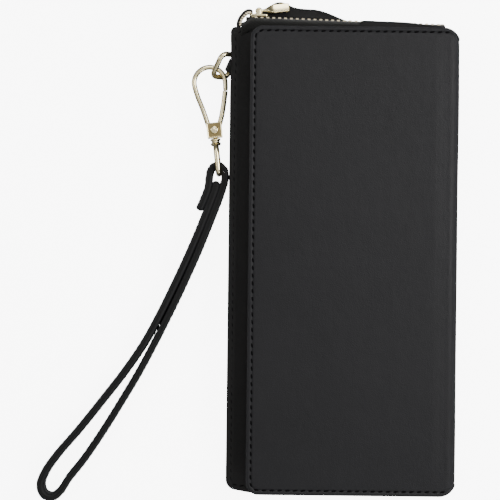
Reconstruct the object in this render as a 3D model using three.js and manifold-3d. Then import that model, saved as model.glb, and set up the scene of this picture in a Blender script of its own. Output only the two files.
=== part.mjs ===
// A wristlet wallet lying on its back: a folded leather cover, card pages, a zip pocket and a clip-on wrist strap.
// Millimetres. X runs from the free side to the spine, Y towards the zip, Z up through the thickness.
// The origin is the middle of the back face.
import * as THREE from "three";
import { mergeVertices } from "three/addons/utils/BufferGeometryUtils.js";
import Module from "manifold-3d";

const wasm = await Module();
wasm.setup();

// Overall sizes
const walletLength = 200;
const walletWidth = 98;
const pocketDepth = 10.3;

// Sheet thicknesses and clearances
const leather = 1.6;
const wallLeather = 1.2;
const liningSheet = 0.5;
const cardSheet = 0.5;
const gussetSheet = 0.8;
const gap = 0.3;
const pageGap = 0.6;

// Cover
const foldRadius = 4;
const cornerRadius = 7;
const freeCornerRadius = 4.5;
const flapSetback = 8.6;
const bodyInset = 1;

// Card pages
const cardPanels = 4;
const mouthStep = 12;
const cardDepth = 29;
const cardMargin = 5;
const snapMargin = 15.5;
const spineRoom = 5.5;

// Magnetic snap
const snapRadius = 6;
const snapHole = 3.2;
const snapKnob = 2;
const snapReach = 1.1;

// Zip
const toothPitch = 2.54;
const toothThick = 1.2;
const toothHeight = 2;
const toothLength = 1.9;
const rowGap = 0.5;
const beadWidth = 0.7;
const tapeSheet = 0.6;
const zipMargin = 8.3;
const zipSlope = -0.03;
const zipTilt = THREE.MathUtils.degToRad(65);
const zipRise = 8.8;
const zipReach = 4.5;
const sliderLength = 8;
const sliderWidth = 6.8;
const sliderPlate = 0.8;
const sliderPost = 0.5;
const pullLength = 14;
const pullWidth = 5.4;
const pullThick = 1.1;
const pullLift = THREE.MathUtils.degToRad(9);
const crownRadius = 0.5;
const pullEyeWall = 0.6;

// Wrist hardware
const ringWire = 1.05;
const ringWidth = 11.6;
const ringReach = 8.3;
const ringCorner = 2.6;
const tabWall = 1;
const tabWidth = 5;
const hookWire = 1.05;
const hookArc = 6.75;
const hookLength = 17.5;
const eyeWire = 1.05;
const eyeReach = 15.2;
const swivelLength = 3.2;

// Wrist strap
const strapWidth = 10;
const strapThick = 2.4;

// Heights of the layers, from the floor up
const pocketFloor = leather + gap;
const wallBottom = pocketFloor + gap + pocketDepth;
const wallTop = wallBottom + wallLeather;
const sheetPitch = cardSheet + gap;
const rearPageBottom = wallTop + gap;
const rearPageTop = rearPageBottom + cardPanels * sheetPitch - gap;
const flapPageBottom = rearPageTop + pageGap;
const flapPageTop = flapPageBottom + cardPanels * sheetPitch - gap;
const flapLiningBottom = flapPageTop + gap;
const flapBottom = flapLiningBottom + liningSheet + gap;
const thickness = flapBottom + leather;

// Places along X and Y
const toothCount = Math.floor((walletWidth - 2 * zipMargin) / toothPitch);
const freeEdge = -walletWidth / 2;
const spineEdge = walletWidth / 2;
const flapEdge = freeEdge + flapSetback;
const bodyHalf = walletLength / 2 - bodyInset;
const gussetLeft = freeEdge + 6;
const innerRight = spineEdge - spineRoom;
const snapX = flapEdge + snapMargin / 2;
const cardLeft = flapEdge + snapMargin;

const palette = {
  leather: { color: 0x2b2a2c, roughness: 0.42, metalness: 0 },
  lining: { color: 0x1d1c1f, roughness: 0.85, metalness: 0 },
  tape: { color: 0x161618, roughness: 0.9, metalness: 0 },
  gold: { color: 0xc9b98f, roughness: 0.22, metalness: 1 },
};

const wallet = new THREE.Group();

// The wrist hardware, the strap and the zip's tail keep their places from the free corner at the zipped end
const corner = new THREE.Group();
corner.position.set(freeEdge, bodyHalf, 0);
wallet.add(corner);

function add(name, geometry, slot, parent = wallet) {
  const mesh = new THREE.Mesh(geometry, new THREE.MeshStandardMaterial(palette[slot]));
  mesh.name = name;
  parent.add(mesh);
  return mesh;
}

// Booleans on closed geometries
function solidOf(geometry) {
  const bare = geometry.clone();
  bare.deleteAttribute("normal");
  bare.deleteAttribute("uv");
  const merged = mergeVertices(bare, 1e-4);
  const index = merged.index.array;
  return new wasm.Manifold(new wasm.Mesh({
    numProp: 3,
    vertProperties: new Float32Array(merged.attributes.position.array),
    triVerts: new Uint32Array(index),
  }));
}

function geometryOf(solid) {
  const mesh = solid.getMesh();
  const geometry = new THREE.BufferGeometry();
  geometry.setAttribute("position", new THREE.BufferAttribute(mesh.vertProperties, 3));
  geometry.setIndex(new THREE.BufferAttribute(mesh.triVerts, 1));
  geometry.computeVertexNormals();
  return geometry;
}

const joined = (...shapes) => geometryOf(shapes.map(solidOf).reduce((a, b) => a.add(b)));
const cut = (shape, ...tools) => geometryOf(tools.map(solidOf).reduce((a, b) => a.subtract(b), solidOf(shape)));
const common = (a, b) => geometryOf(solidOf(a).intersect(solidOf(b)));

// A flat outline in XY, raised from z0 to z1
function slab(shape, z0, z1, curveSegments = 8) {
  const settings = { depth: z1 - z0, bevelEnabled: false, curveSegments };
  return new THREE.ExtrudeGeometry(shape, settings).translate(0, 0, z0);
}

// An outline whose x is X and whose y is Z, run along Y from y0 to y1
function sectionAlongY(shape, y0, y1) {
  return slab(shape, 0, y1 - y0).rotateX(Math.PI / 2).translate(0, y1, 0);
}

// An outline whose x is Y and whose y is Z, run along X from x0 to x1 in a number of steps
function sectionAlongX(shape, x0, x1, steps = 1) {
  const settings = { depth: x1 - x0, bevelEnabled: false, steps };
  const turned = new THREE.ExtrudeGeometry(shape, settings).rotateX(Math.PI / 2).rotateZ(Math.PI / 2);
  return turned.translate(x0, 0, 0);
}

// A rectangle with its own radius at each corner: low left, low right, high right, high left
function roundedPlan(x0, y0, x1, y1, [a, b, c, d]) {
  const shape = new THREE.Shape();
  shape.moveTo(x0 + a, y0);
  shape.lineTo(x1 - b, y0);
  if (b) shape.absarc(x1 - b, y0 + b, b, -Math.PI / 2, 0);
  shape.lineTo(x1, y1 - c);
  if (c) shape.absarc(x1 - c, y1 - c, c, 0, Math.PI / 2);
  shape.lineTo(x0 + d, y1);
  if (d) shape.absarc(x0 + d, y1 - d, d, Math.PI / 2, Math.PI);
  shape.lineTo(x0, y0 + a);
  if (a) shape.absarc(x0 + a, y0 + a, a, Math.PI, Math.PI * 1.5);
  return shape;
}

// The outline of a strip of even thickness along a list of 2-D points
function strip(points, thick) {
  const side = (sign) => points.map((p, i) => {
    const before = points[Math.max(i - 1, 0)];
    const after = points[Math.min(i + 1, points.length - 1)];
    const entry = p.clone().sub(before).normalize();
    const exit = after.clone().sub(p).normalize();
    const run = entry.add(exit).normalize();
    const lean = Math.max(run.dot(i ? p.clone().sub(before).normalize() : run), 0.5);
    const reach = (sign * thick) / 2 / lean;
    return new THREE.Vector2(p.x - run.y * reach, p.y + run.x * reach);
  });
  return new THREE.Shape([...side(-1), ...side(1).reverse()]);
}

const points2 = (pairs) => pairs.map(([x, y]) => new THREE.Vector2(x, y));
const box = (x0, x1, y0, y1, z0, z1) =>
  new THREE.BoxGeometry(x1 - x0, y1 - y0, z1 - z0).translate((x0 + x1) / 2, (y0 + y1) / 2, (z0 + z1) / 2);
const disc = (radius, z0, z1, sides = 28) =>
  new THREE.CylinderGeometry(radius, radius, z1 - z0, sides).rotateX(Math.PI / 2).translate(0, 0, (z0 + z1) / 2);

// A round wire bent into a closed loop in the XY plane
function closedWire(outline, radius, around = 48, sides = 10) {
  const geometry = new THREE.TorusGeometry(1, 0.1, sides, around);
  const position = geometry.attributes.position;
  for (let j = 0; j <= sides; j++) {
    for (let i = 0; i <= around; i++) {
      const along = (i % around) / around;
      const at = outline.getPointAt(along);
      const run = outline.getTangentAt(along);
      const turn = ((j % sides) / sides) * Math.PI * 2;
      const out = radius * Math.cos(turn);
      position.setXYZ(j * (around + 1) + i, at.x + run.y * out, at.y - run.x * out, radius * Math.sin(turn));
    }
  }
  return geometry;
}

// A round wire along an open curve
function openWire(curve, radius, steps, sides = 10) {
  const section = new THREE.Shape().absarc(0, 0, radius, 0, Math.PI * 2);
  return new THREE.ExtrudeGeometry(section, { extrudePath: curve, steps, curveSegments: sides, bevelEnabled: false });
}

// Cover: one hide, in three parts that meet in the middle of each fold
function buildCover() {
  const inner = foldRadius - leather;
  const slack = gap / 2 / inner;
  const centreX = spineEdge - foldRadius;
  const lowZ = foldRadius;
  const highZ = thickness - foldRadius;
  const eighth = Math.PI / 4;

  const back = new THREE.Shape();
  back.moveTo(freeEdge, 0);
  back.lineTo(centreX, 0);
  back.absarc(centreX, lowZ, foldRadius, -2 * eighth, -eighth - slack, false);
  back.absarc(centreX, lowZ, inner, -eighth - slack, -2 * eighth, true);
  back.lineTo(freeEdge, leather);

  const spine = new THREE.Shape();
  spine.absarc(centreX, lowZ, foldRadius, -eighth + slack, 0, false);
  spine.absarc(centreX, highZ, foldRadius, 0, eighth - slack, false);
  spine.absarc(centreX, highZ, inner, eighth - slack, 0, true);
  spine.absarc(centreX, lowZ, inner, 0, -eighth + slack, true);

  const flap = new THREE.Shape();
  flap.absarc(centreX, highZ, foldRadius, eighth + slack, 2 * eighth, false);
  flap.lineTo(flapEdge, thickness);
  flap.lineTo(flapEdge, flapBottom);
  flap.absarc(centreX, highZ, inner, 2 * eighth, eighth + slack, true);

  const half = walletLength / 2;
  const bodyCorners = [freeCornerRadius, cornerRadius, cornerRadius, freeCornerRadius];
  const bodyPlan = slab(roundedPlan(freeEdge, -bodyHalf, spineEdge + 1, bodyHalf, bodyCorners), -1, thickness);
  const flapPlan = slab(roundedPlan(flapEdge, -half, spineEdge, half, bodyCorners), -1, thickness + 1);
  add("back_panel", common(sectionAlongY(back, -half, half), bodyPlan), "leather");
  add("spine_panel", common(sectionAlongY(spine, -half, half), flapPlan), "leather");
  add("flap_panel", common(sectionAlongY(flap, -half, half), flapPlan), "leather");

  const liningHalf = half - cornerRadius - cardMargin;
  const liningX = spineEdge - leather - gap;
  add("spine_lining", box(liningX - liningSheet, liningX, -liningHalf, liningHalf, lowZ + gap, highZ - gap), "lining");
}

// Zip pocket: a gusset running round three sides, closed by the back panel and the front wall
function buildPocket() {
  const corners = [freeCornerRadius, cornerRadius, cornerRadius, freeCornerRadius];
  const wall = roundedPlan(freeEdge, -bodyHalf, innerRight, bodyHalf, corners);
  add("pocket_front_wall", slab(wall, wallBottom, wallTop), "leather");

  const low = -bodyHalf + 2;
  const high = bodyHalf - 2;
  const right = innerRight - 1;
  const turn = 3;
  const outer = roundedPlan(gussetLeft, low, right, high, [turn, turn, 0, 0]);
  const inside = [gussetLeft + gussetSheet, low + gussetSheet, right - gussetSheet, high + 1];
  const innerPlan = roundedPlan(...inside, [turn - gussetSheet, turn - gussetSheet, 0, 0]);
  const wallZ = [pocketFloor, wallBottom - gap];
  add("pocket_gusset", cut(slab(outer, ...wallZ, 5), slab(innerPlan, 0, wallBottom, 5)), "lining");

  const [x0, y0, x1] = inside;
  const sheet = roundedPlan(x0 + gap, y0 + gap, x1 - gap, high, [turn, turn, 0, 0]);
  add("pocket_rear_lining", slab(sheet, pocketFloor, pocketFloor + liningSheet, 4), "lining");
  add("pocket_front_lining", slab(sheet, wallBottom - gap - liningSheet, wallBottom - gap, 4), "lining");
}

// Card pages: stepped sheets, each reaching one step nearer to the spine than the one in front of it
function buildPages() {
  const cardHalf = bodyHalf - cardMargin;
  for (let i = 0; i < cardPanels; i++) {
    const mouth = Math.min(cardLeft + cardDepth + mouthStep * i, innerRight - 1);
    const plan = roundedPlan(cardLeft, -cardHalf, mouth, cardHalf, [0, 1.5, 1.5, 0]);
    const rearZ = rearPageTop - cardSheet - sheetPitch * i;
    const flapZ = flapPageBottom + sheetPitch * i;
    add(`rear_card_panel_${i + 1}`, slab(plan, rearZ, rearZ + cardSheet, 2), "leather");
    add(`flap_card_panel_${i + 1}`, slab(plan, flapZ, flapZ + cardSheet, 2), "leather");
  }
  const liningHalf = walletLength / 2 - bodyInset;
  const lining = roundedPlan(flapEdge + 1.2, -liningHalf, innerRight, liningHalf, [3, cornerRadius, cornerRadius, 3]);
  add("flap_lining", slab(lining, flapLiningBottom, flapLiningBottom + liningSheet, 4), "lining");
}

// Magnetic snap: a socket ring on the rear page and a stud with a knob under the flap
function buildSnap() {
  const socketTop = rearPageTop;
  const studBottom = flapPageBottom;
  const socket = cut(disc(snapRadius, rearPageBottom, socketTop), disc(snapHole, rearPageBottom + 0.8, socketTop + 1));
  add("snap_socket", socket.translate(snapX, 0, 0), "gold");
  const stud = joined(
    disc(snapRadius, studBottom, flapPageTop),
    disc(snapKnob, studBottom - pageGap - snapReach, studBottom + 0.2, 20),
  );
  add("snap_stud", stud.translate(snapX, 0, 0), "gold");
}

// Zip along the open end. In its group x is the chain, y points away from the wallet and z is up.
const zip = new THREE.Group();
zip.position.set(0, bodyHalf + zipReach, 0);
zip.rotation.z = zipSlope;
wallet.add(zip);

// How far the loose rear side stands out past the chain, for a place x along it and a distance y from it.
// It stands out most at the crest.
function bulge(x, y, crest) {
  const fall = x < crest ? 13 : 33;
  const along = Math.max(0, 1 - ((x - crest) / fall) ** 2);
  const across = THREE.MathUtils.smoothstep(y, 1.4, 2.8);
  return 4.6 * along * across;
}

function bulged(geometry, crest) {
  const position = geometry.attributes.position;
  for (let i = 0; i < position.count; i++) {
    const x = position.getX(i);
    const y = position.getY(i);
    position.setY(i, y + bulge(x, y, crest));
  }
  return geometry;
}

function buildZip() {
  const chainStart = -toothPitch * (toothCount / 2 - 0.25);
  const chainEnd = chainStart + toothPitch * (toothCount - 1) + toothThick;
  const crest = chainStart + 12;
  const face = new THREE.Group();
  face.position.z = zipRise;
  face.rotation.x = -zipTilt;
  zip.add(face);

  const rowOuter = rowGap + toothLength;
  for (const [name, side] of [["rear", 1], ["front", -1]]) {
    const rail = [rowOuter - 0.2, rowOuter + beadWidth].map((y) => y * side).sort((a, b) => a - b);
    const tooth = [rowGap, rowOuter].map((y) => y * side).sort((a, b) => a - b);
    const shift = side > 0 ? 0 : toothPitch / 2;
    const parts = [box(chainStart, chainEnd + toothPitch / 2, ...rail, -0.6, 0.6)];
    for (let i = 0; i < toothCount; i++) {
      const x = chainStart + i * toothPitch + shift;
      parts.push(box(x, x + toothThick, ...tooth, -toothHeight / 2, toothHeight / 2));
    }
    add(`zip_teeth_${name}`, joined(...parts), "gold", face);
  }

  // The tapes start beside the teeth, across the tilted face, and turn in to the pocket walls
  const along = new THREE.Vector2(Math.cos(zipTilt), -Math.sin(zipTilt));
  const beside = rowOuter + beadWidth + gap + tapeSheet / 2;
  const place = (d) => along.clone().multiplyScalar(d).add(new THREE.Vector2(0, zipRise));
  const tapeEnds = [chainStart - 1, chainEnd + 4];
  const front = [place(-beside), place(-beside - 1.4), new THREE.Vector2(-3.2, wallTop + 1.1)];
  add("zip_tape_front", sectionAlongX(strip(front, tapeSheet), ...tapeEnds), "tape", zip);
  const rear = [place(beside), place(beside + 1.4)];
  add("zip_tape_rear", bulged(sectionAlongX(strip(rear, tapeSheet), ...tapeEnds, 24), crest), "tape", zip);
  const bandX = [tapeEnds[0] + 1, tapeEnds[1] - 1];
  const band = points2([[2.9, 2.6], [3.3, 1.5], [2, 0.55], [-2.6, 0.55]]);
  add("zip_rear_band", bulged(sectionAlongX(strip(band, 0.8), ...bandX, 24), crest), "leather", zip);

  const stopX = chainEnd + toothPitch / 2 + gap;
  add("zip_bottom_stop", box(stopX, stopX + 1.6, -rowOuter, rowOuter, -1.1, 1.1), "gold", face);

  // The end of the tape that is sewn to neither wall stands up and arches over to the corner
  const tail = new THREE.CatmullRomCurve3([
    new THREE.Vector3(6.1, 7.8, 0),
    new THREE.Vector3(5.1, 6.6, 0),
    new THREE.Vector3(4.1, 5, 0),
    new THREE.Vector3(3.6, 3.2, 0),
    new THREE.Vector3(3.8, 1.4, 0),
  ]);
  const tailLine = tail.getSpacedPoints(12).map((p) => new THREE.Vector2(p.x, p.y));
  add("zip_tail", slab(strip(tailLine, 1), zipRise - 3.4, wallBottom - gap), "tape", corner);

  // Slider: two plates joined by a post that runs between the rows, with a crown for the pull
  const sliderX = chainStart + sliderLength / 2 - 1;
  const slider = new THREE.Group();
  slider.position.x = sliderX;
  face.add(slider);
  const halfL = sliderLength / 2;
  const halfW = sliderWidth / 2;
  const under = toothHeight / 2 + gap;
  const top = under + sliderPlate;
  const eyeInner = crownRadius + gap;
  const eyeOuter = eyeInner + pullEyeWall;
  const crownZ = top + gap + eyeOuter;
  const plate = roundedPlan(-halfL, -halfW, halfL, halfW, [1.6, 1, 1, 1.6]);
  const cheek = (y) => box(-0.9, 0.9, y - 0.3, y + 0.3, top - 0.2, crownZ + crownRadius);
  const crownBar = new THREE.CylinderGeometry(crownRadius, crownRadius, 3, 12).translate(0, 0, crownZ);
  add("zip_slider", joined(
    slab(plate, under, top, 4),
    slab(plate, -top, -under, 4),
    box(-halfL + 0.4, -halfL + 2.2, -sliderPost / 2, sliderPost / 2, -under - 0.2, under + 0.2),
    cheek(-1.5),
    cheek(1.5),
    crownBar,
  ), "gold", slider);

  // Pull: an eye on the crown bar, a neck and a wide end
  const eyeHalf = 0.85;
  const eyePlan = new THREE.Shape().absarc(0, 0, eyeOuter, 0, Math.PI * 2);
  eyePlan.holes.push(new THREE.Path().absarc(0, 0, eyeInner, 0, Math.PI * 2, true));
  const eye = slab(eyePlan, -eyeHalf, eyeHalf, 14).rotateX(Math.PI / 2);
  const neckEnd = pullLength * 0.5;
  const neck = box(eyeInner + 0.2, neckEnd + 1, -eyeHalf, eyeHalf, -pullThick / 2, pullThick / 2);
  const wide = roundedPlan(neckEnd, -pullWidth / 2, pullLength, pullWidth / 2, [1.6, 2.2, 2.2, 1.6]);
  const pull = add("zip_pull", joined(eye, neck, slab(wide, -pullThick / 2, pullThick / 2, 5)), "gold", slider);
  pull.position.z = crownZ;
  pull.rotation.y = -pullLift;
}

// D-ring, standing slanted in its tab. In its group x points out of the wallet and y runs along the bar.
const ringCentre = new THREE.Vector3(-2.5, -15, 8.35);
const ringOut = new THREE.Vector3(-0.76, 0, 0.64).normalize();
const ringBar = new THREE.Vector3(0.38, 0.8, 0.45);
ringBar.addScaledVector(ringOut, -ringBar.dot(ringOut)).normalize();

function buildRing() {
  const group = new THREE.Group();
  const basis = new THREE.Matrix4().makeBasis(ringOut, ringBar, ringOut.clone().cross(ringBar));
  group.applyMatrix4(basis.setPosition(ringCentre));
  corner.add(group);
  const [l, h, r] = [ringReach / 2, ringWidth / 2, ringCorner];
  const outline = roundedPlan(-l, -h, l, h, [r, r, r, r]);
  outline.closePath();
  add("d_ring", closedWire(outline, ringWire, 56), "gold", group);

  const hole = ringWire + gap;
  const round = new THREE.Shape().absarc(0, 0, hole + tabWall, 0, Math.PI * 2);
  round.holes.push(new THREE.Path().absarc(0, 0, hole, 0, Math.PI * 2, true));
  const loop = slab(round, -tabWidth / 2, tabWidth / 2, 14).rotateX(Math.PI / 2).translate(-l, 0, 0);
  const tongue = box(-l - hole - 2.1, -l - hole - 0.2, -tabWidth / 2, tabWidth / 2, -0.6, 0.6);
  add("ring_tab", joined(loop, tongue), "leather", group);
}

// Snap hook. In its group the origin is the middle of the arc and -y runs to the strap.
const hookCentre = new THREE.Vector3(-8.9, -22.4, 7.55);
const hookLean = THREE.MathUtils.degToRad(6.4);

function buildHook() {
  const group = new THREE.Group();
  group.position.copy(hookCentre);
  group.rotation.z = hookLean;
  corner.add(group);
  const baseTop = -hookLength;
  const baseHalf = 3.2;
  const baseLength = 6.6;
  const baseThick = 2.2;
  const baseEnd = baseTop - baseLength;
  const neckX = 2.4;
  const route = new THREE.CurvePath();
  const v = (x, y) => new THREE.Vector3(x, y, 0);
  const arcPoints = [];
  for (let i = 0; i <= 12; i++) {
    const a = Math.PI - (Math.PI * i) / 12;
    arcPoints.push(v(hookArc * Math.cos(a), hookArc * Math.sin(a)));
  }
  const noseY = -3.4;
  const line = [v(-neckX, baseTop - 1), v(-4.2, -11), v(-5.9, -5), ...arcPoints, v(hookArc - 0.2, noseY)];
  const wire = new THREE.CatmullRomCurve3(line, false, "centripetal");
  const pinY = baseTop - 3.1;
  const rootRadius = 1.8;
  const slotHalf = 1.1 + gap;
  const slotEdge = rootRadius + gap;
  const plates = cut(
    box(-baseHalf, baseHalf, baseEnd, baseTop, -baseThick, baseThick),
    box(-slotEdge, baseHalf + 1, pinY - slotEdge, baseTop + 1, -slotHalf, slotHalf),
    box(-1.5, 1.5, baseEnd - 1, baseEnd + 1.4, -slotHalf, slotHalf),
    disc(0.75 + gap, -baseThick - 1, baseThick + 1, 12).translate(0, pinY, 0),
    box(-1.5, 1.5, baseEnd + 1, pinY, -slotHalf, slotHalf),
  );
  add("hook_frame", joined(openWire(wire, hookWire, 34, 5), plates), "gold", group);

  const pin = joined(
    disc(0.75, -baseThick - 0.3, baseThick + 0.3, 14),
    disc(1.6, baseThick + gap, baseThick + gap + 0.5, 18),
    disc(1.6, -baseThick - gap - 0.5, -baseThick - gap, 18),
  );
  add("hook_rivet", pin.translate(0, pinY, 0), "gold", group);

  // The gate turns on the rivet and meets the end of the nose
  const gateTop = noseY - hookWire - gap;
  const gateLine = strip(points2([[1.6, pinY], [3.2, baseTop + 1], [4.6, -11.5], [hookArc - 0.45, gateTop]]), 1.9);
  const root = disc(rootRadius, -1.1, 1.1, 16).translate(0, pinY, 0);
  const pinHole = disc(0.75 + gap, -2, 2, 14).translate(0, pinY, 0);
  const gateBar = slab(gateLine, -1, 1);
  add("hook_gate", cut(joined(gateBar, root), pinHole), "gold", group);

  // Swivel: a stud headed inside the base, and an eye whose plane stands upright
  const collarY = baseEnd - gap;
  const eye = new THREE.Group();
  eye.position.y = collarY;
  eye.rotation.y = Math.PI / 2;
  group.add(eye);
  const half = strapWidth / 2 + 0.4 + eyeWire;
  const [near, far, r] = [-swivelLength + 0.4, -eyeReach, 2.8];
  const outline = roundedPlan(-half, far, half, near, [1.6, 1.6, r + 1, r + 1]);
  outline.closePath();
  const stud = new THREE.CylinderGeometry(0.95, 0.95, swivelLength + 1.6, 14).translate(0, -swivelLength / 2 + 0.8, 0);
  const collar = new THREE.CylinderGeometry(1.7, 1.7, swivelLength - 0.6, 16).translate(0, -swivelLength / 2, 0);
  add("hook_eye", joined(closedWire(outline, eyeWire, 56), stud, collar), "gold", eye);
}

// Wrist strap: one flat band standing on its edge. It starts between its own two runs under the eye's bar, goes
// down to the far turn, comes back up, passes over the bar and ends beside the start.
const strapRoute = [
  [-5.8, -67.6], [-7.6, -73], [-11.3, -82.7], [-16.4, -95.4], [-22, -108.2], [-28.2, -121.4],
  [-35.4, -135], [-43.9, -147.8], [-53.8, -160.8], [-64.2, -174], [-73, -184.4], [-78.2, -192],
  [-80.1, -197.6], [-78.6, -201.6], [-75.2, -202.6], [-71.8, -200], [-68.4, -194.6], [-62, -186.4],
  [-53.6, -173.8], [-45.7, -160.8], [-38.2, -147.9], [-31.6, -135.2], [-25.4, -122.6], [-19.2, -109.4],
  [-13.5, -96.5], [-8.3, -83.4], [-4.6, -73.6], [-2.7, -67.8], [-1.7, -63.4], [-2.4, -59.8],
  [-5.1, -58.2], [-7.7, -59.9], [-8.6, -63.8], [-9, -67.8], [-10.7, -72.6], [-13, -77.8],
];

function buildStrap(barHeight) {
  const path = new THREE.SplineCurve(points2(strapRoute));
  const line = path.getSpacedPoints(110);
  const geometry = slab(strip(line, strapThick), 0, strapWidth);
  const position = geometry.attributes.position;
  const [tipY, eyeY] = [-203, -63];
  for (let i = 0; i < position.count; i++) {
    const climb = THREE.MathUtils.clamp((position.getY(i) - tipY) / (eyeY - tipY), 0, 1);
    position.setZ(i, position.getZ(i) + climb * (barHeight - strapWidth / 2));
  }
  add("wrist_strap", geometry, "leather", corner);
}

buildCover();
buildPocket();
buildPages();
buildSnap();
buildZip();
buildRing();
buildHook();
buildStrap(hookCentre.z);

export default wallet;
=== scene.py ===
# A long leather wallet with a zipped end and a wrist strap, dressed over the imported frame.
# Lengths in this file are millimetres until a mesh is finished.
from bisect import bisect_right
from math import cos, exp, pi, radians, sin, sqrt

import bmesh
import bpy
from mathutils import Matrix, Vector, noise


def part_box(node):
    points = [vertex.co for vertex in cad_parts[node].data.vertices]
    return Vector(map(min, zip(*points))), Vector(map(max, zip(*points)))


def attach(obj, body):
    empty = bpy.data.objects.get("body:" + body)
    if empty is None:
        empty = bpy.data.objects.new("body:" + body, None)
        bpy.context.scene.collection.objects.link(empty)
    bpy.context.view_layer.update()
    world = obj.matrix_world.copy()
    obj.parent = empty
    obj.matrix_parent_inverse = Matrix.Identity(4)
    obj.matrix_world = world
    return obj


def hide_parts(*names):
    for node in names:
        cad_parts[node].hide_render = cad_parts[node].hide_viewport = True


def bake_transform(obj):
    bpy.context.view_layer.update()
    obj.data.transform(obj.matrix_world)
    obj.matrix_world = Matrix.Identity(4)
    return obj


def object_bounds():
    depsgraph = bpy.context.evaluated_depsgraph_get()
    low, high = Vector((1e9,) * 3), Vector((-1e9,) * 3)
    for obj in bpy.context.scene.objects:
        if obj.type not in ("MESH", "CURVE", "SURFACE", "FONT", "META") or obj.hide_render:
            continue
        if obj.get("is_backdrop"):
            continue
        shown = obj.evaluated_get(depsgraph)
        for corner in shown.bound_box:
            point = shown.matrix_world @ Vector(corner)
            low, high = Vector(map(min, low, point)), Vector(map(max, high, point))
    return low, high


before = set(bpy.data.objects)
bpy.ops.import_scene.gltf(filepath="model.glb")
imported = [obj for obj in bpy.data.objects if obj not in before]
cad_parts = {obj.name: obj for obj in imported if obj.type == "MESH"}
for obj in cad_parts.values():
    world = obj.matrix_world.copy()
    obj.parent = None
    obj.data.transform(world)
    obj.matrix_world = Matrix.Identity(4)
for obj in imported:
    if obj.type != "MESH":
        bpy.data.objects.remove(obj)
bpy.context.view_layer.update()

mm = 0.001


def lowHigh(node):
    low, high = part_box(node)
    return Vector(low) / mm, Vector(high) / mm


print("stage: camera, light and floor")
camera = {"x": -39.6, "y": 4.3, "height": 800, "lens": 135.4, "lean": 0.65, "sensor": 36, "farthest": 20}
topZ = lowHigh("flap_panel")[1].z
lens = bpy.data.cameras.new("camera")
lens.lens = camera["lens"]
lens.sensor_width = camera["sensor"]
lens.clip_end = camera["farthest"]
eyePoint = bpy.data.objects.new("camera", lens)
eyePoint.location = Vector((camera["x"], camera["y"], topZ + camera["height"])) * mm
eyePoint.rotation_euler = (0, 0, radians(camera["lean"]))
bpy.context.scene.collection.objects.link(eyePoint)
bpy.context.scene.camera = eyePoint

lamps = {  # place, aim, size, power, colour
    "overhead": ((330, 120, 420), (20, 10, 0), 260, 2.2, (1, 0.99, 0.98)),
    "side": ((-900, 160, 520), (-40, 40, 0), 420, 1.6, (1, 1, 1)),
    "front": ((-60, 640, 820), (-40, 60, 0), 420, 2.6, (1, 0.99, 0.97)),
    "far": ((500, -700, 500), (0, 0, 0), 420, 2.5, (0.97, 0.98, 1)),
}
for name, (place, aim, size, power, colour) in lamps.items():
    lamp = bpy.data.lights.new(name, "AREA")
    lamp.shape = "DISK"
    lamp.size = size * mm
    lamp.energy = power
    lamp.color = colour
    holder = bpy.data.objects.new(name, lamp)
    holder.location = Vector(place) * mm
    toward = (Vector(aim) - Vector(place)).normalized()
    holder.rotation_euler = toward.to_track_quat("-Z", "Y").to_euler()
    bpy.context.scene.collection.objects.link(holder)


# Shader wiring: a Link is one output socket, and sums on it add Math nodes
class Link:
    def __init__(self, look, socket):
        self.look = look
        self.socket = socket

    def sum(self, operation, first, second):
        return self.look.add("ShaderNodeMath", {"operation": operation}, {0: first, 1: second})

    def __add__(self, other):
        return self.sum("ADD", self, other)

    def __sub__(self, other):
        return self.sum("SUBTRACT", self, other)

    def __rsub__(self, other):
        return self.sum("SUBTRACT", other, self)

    def __mul__(self, other):
        return self.sum("MULTIPLY", self, other)

    __radd__ = __add__
    __rmul__ = __mul__


class Wiring:
    def __init__(self, tree):
        self.tree = tree

    def add(self, kind, settings, values, result=0):
        node = self.tree.nodes.new(kind)
        for key, value in settings.items():
            if key == "stops":
                for stop, (place, grey) in zip(node.color_ramp.elements, value):
                    stop.position = place
                    stop.color = (grey, grey, grey, 1)
            elif key == "easing":
                node.color_ramp.interpolation = value
            else:
                setattr(node, key, value)
        for key, value in values.items():
            if isinstance(value, Link):
                self.tree.links.new(value.socket, node.inputs[key])
            else:
                node.inputs[key].default_value = value
        return Link(self, node.outputs[result])


class Look(Wiring):
    def __init__(self, name, surface):
        self.material = bpy.data.materials.new(name)
        self.material.use_nodes = True
        super().__init__(self.material.node_tree)
        self.shader = self.tree.nodes["Principled BSDF"]
        for key, value in surface.items():
            self.shader.inputs[key].default_value = value

    def place(self, scale=(1, 1, 1), turn=(0, 0, 0)):
        where = self.add("ShaderNodeTexCoord", {}, {}, "Object")
        return self.add("ShaderNodeMapping", {}, {"Vector": where, "Scale": scale, "Rotation": turn})

    def cloud(self, scale, detail=3, rough=0.5, where=None):
        values = {"Scale": scale, "Detail": detail, "Roughness": rough, "Vector": where or self.place()}
        return self.add("ShaderNodeTexNoise", {}, values)

    def bands(self, scale, where, profile="SIN"):
        settings = {"wave_type": "BANDS", "bands_direction": "X", "wave_profile": profile}
        return self.add("ShaderNodeTexWave", settings, {"Scale": scale, "Vector": where}, "Fac")

    # A Mix node's colour sockets are its inputs 6 and 7 and its output 2
    def mix(self, factor, first, second):
        first, second = [c if isinstance(c, Link) else (*c, 1) for c in (first, second)]
        return self.add("ShaderNodeMix", {"data_type": "RGBA"}, {0: factor, 6: first, 7: second}, 2)

    def feed(self, key, link):
        self.tree.links.new(link.socket, self.shader.inputs[key])

    def bump(self, height, strength, distance):
        values = {"Height": height, "Strength": strength, "Distance": distance * mm}
        self.feed("Normal", self.add("ShaderNodeBump", {}, values))


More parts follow.
